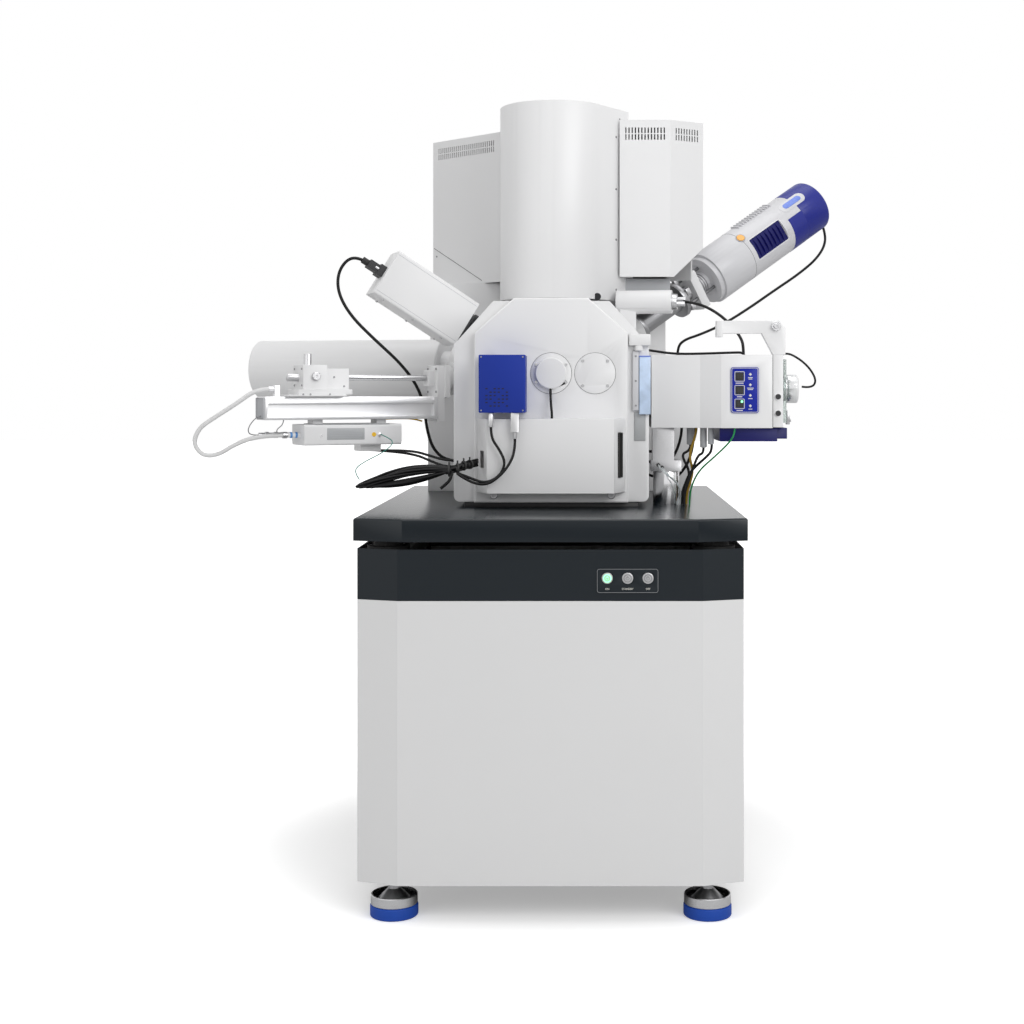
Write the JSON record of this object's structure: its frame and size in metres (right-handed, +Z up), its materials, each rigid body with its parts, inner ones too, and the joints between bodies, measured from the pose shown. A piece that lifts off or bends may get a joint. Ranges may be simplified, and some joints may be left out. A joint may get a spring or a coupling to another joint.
{
  "type": "scanning electron microscope",
  "caption": "Free-standing scanning electron microscope with a column, specimen chamber with sliding door and stage, detectors and airlock on a closed plinth.",
  "frame": {"origin": "on the floor under the middle of the rigid parts' box", "axes": "+Z up, +Y to the back, front towards -Y, +X to the operator's right"},
  "size_m": [1.5646, 1.1924, 1.801],
  "materials": {
    "white_paint": "smooth semi-matt white enamel",
    "grey_panel": "fine-textured light grey enamel",
    "anthracite": "fine-textured dark enamel",
    "table_grey": "satin dark grey enamel",
    "blue_paint": "satin blue enamel",
    "navy_paint": "satin navy enamel",
    "bare_steel": "turned and brushed",
    "bare_aluminium": "machined",
    "silver_paint": "silver-grey enamel",
    "pad_rubber": "blue moulded rubber",
    "black_plastic": "fine matt",
    "cable_black": "smooth cable jacket",
    "hose_white": "corrugated plastic",
    "frame_black": "black enamel"
  },
  "bodies": {
    "machine": {"airlock_box": "white_paint", "airlock_camera": "white_paint", "airlock_drive_box": "navy_paint", "airlock_panel": "blue_paint", "airlock_stand": "bare_steel", "beam_column": "bare_steel", "box_detector": "white_paint", "box_detector_cable": "cable_black", "button_bezel": "anthracite", "cabinet_panels": "grey_panel", "chamber_base": "frame_black", "chamber_body": "white_paint", "column_cover": "white_paint", "control_band": "anthracite", "electronics_rack": "frame_black", "foot_cups": "bare_steel", "foot_pads": "pad_rubber", "foot_stems": "bare_steel", "front_panel": "grey_panel", "isolators": "black_plastic", "left_rear_cover": "white_paint", "objective_lens": "bare_steel", "plinth_frame": "frame_black", "probe_hose": "hose_white", "probe_port": "bare_aluminium", "probe_preamp": "white_paint", "probe_rail": "white_paint", "rear_chassis": "white_paint", "right_rear_cover": "white_paint", "side_detector": "white_paint", "table_top": "table_grey", "tube_detector": "white_paint", "turbo_pump": "bare_aluminium", "xray_cable": "cable_black", "xray_mount": "bare_aluminium", "xray_plate": "white_paint"},
    "door": {"door_plate": "white_paint", "door_cover": "white_paint", "door_grip": "black_plastic", "door_camera": "white_paint", "blank_flange": "white_paint", "door_control_box": "blue_paint", "door_guides": "bare_steel", "stage_base": "bare_aluminium", "control_cable_left": "cable_black", "control_cable_right": "cable_black", "cable_hank": "cable_black"},
    "stage_x_slide": {"stage_x": "bare_aluminium"},
    "stage_y_slide": {"stage_y": "bare_aluminium"},
    "stage_lift": {"stage_z": "bare_aluminium"},
    "stage_cradle": {"stage_tilt": "bare_aluminium"},
    "stage_platter": {"stage_rotation": "bare_steel"},
    "on_key": {"on_button": "bare_steel"},
    "standby_key": {"standby_button": "bare_steel"},
    "off_key": {"off_button": "bare_steel"},
    "lock_key_top": {"airlock_key_top": "black_plastic"},
    "lock_key_middle": {"airlock_key_middle": "black_plastic"},
    "lock_key_bottom": {"airlock_key_bottom": "black_plastic"},
    "probe_slide": {"probe_carriage": "white_paint"},
    "xray_slide": {"xray_body": "silver_paint", "xray_cap": "blue_paint", "xray_louvre": "black_plastic"}
  },
  "joints": [
    {"name": "door_slide", "type": "slide", "parent": "machine", "child": "door", "axis": [0, -1, 0], "range_m": [0, 0.3]},
    {"name": "stage_x_move", "type": "slide", "parent": "door", "child": "stage_x_slide", "axis": [1, 0, 0], "range_m": [-0.06, 0.06]},
    {"name": "stage_y_move", "type": "slide", "parent": "stage_x_slide", "child": "stage_y_slide", "axis": [0, 1, 0], "range_m": [-0.06, 0.06]},
    {"name": "stage_z_move", "type": "slide", "parent": "stage_y_slide", "child": "stage_lift", "axis": [0, 0, 1], "range_m": [0, 0.04]},
    {"name": "stage_tilt_turn", "type": "hinge", "parent": "stage_lift", "child": "stage_cradle", "pos_m": [0.02442, 0.09476, 1.051], "axis": [1, 0, 0], "range_deg": [-5, 60]},
    {"name": "stage_rotation_turn", "type": "hinge", "parent": "stage_cradle", "child": "stage_platter", "pos_m": [0.02442, 0.09476, 1.0293], "axis": [0, 0, 1], "continuous": true},
    {"name": "on_press", "type": "slide", "parent": "machine", "child": "on_key", "axis": [0, 1, 0], "range_m": [0, 0.0015], "stiffness_N_per_m": 600, "springref_m": -0.001},
    {"name": "standby_press", "type": "slide", "parent": "machine", "child": "standby_key", "axis": [0, 1, 0], "range_m": [0, 0.0015], "stiffness_N_per_m": 600, "springref_m": -0.001},
    {"name": "off_press", "type": "slide", "parent": "machine", "child": "off_key", "axis": [0, 1, 0], "range_m": [0, 0.0015], "stiffness_N_per_m": 600, "springref_m": -0.001},
    {"name": "airlock_press_top", "type": "slide", "parent": "machine", "child": "lock_key_top", "axis": [0, 1, 0], "range_m": [0, 0.0014], "stiffness_N_per_m": 600, "springref_m": -0.001},
    {"name": "airlock_press_middle", "type": "slide", "parent": "machine", "child": "lock_key_middle", "axis": [0, 1, 0], "range_m": [0, 0.0014], "stiffness_N_per_m": 600, "springref_m": -0.001},
    {"name": "airlock_press_bottom", "type": "slide", "parent": "machine", "child": "lock_key_bottom", "axis": [0, 1, 0], "range_m": [0, 0.0014], "stiffness_N_per_m": 600, "springref_m": -0.001},
    {"name": "probe_insert", "type": "slide", "parent": "machine", "child": "probe_slide", "axis": [0.891, 0.454, 0], "range_m": [0, 0.165]},
    {"name": "xray_retract", "type": "slide", "parent": "machine", "child": "xray_slide", "axis": [0.7231, 0.4536, 0.521], "range_m": [0, 0.05], "deforming": ["xray_cable"]}
  ]
}
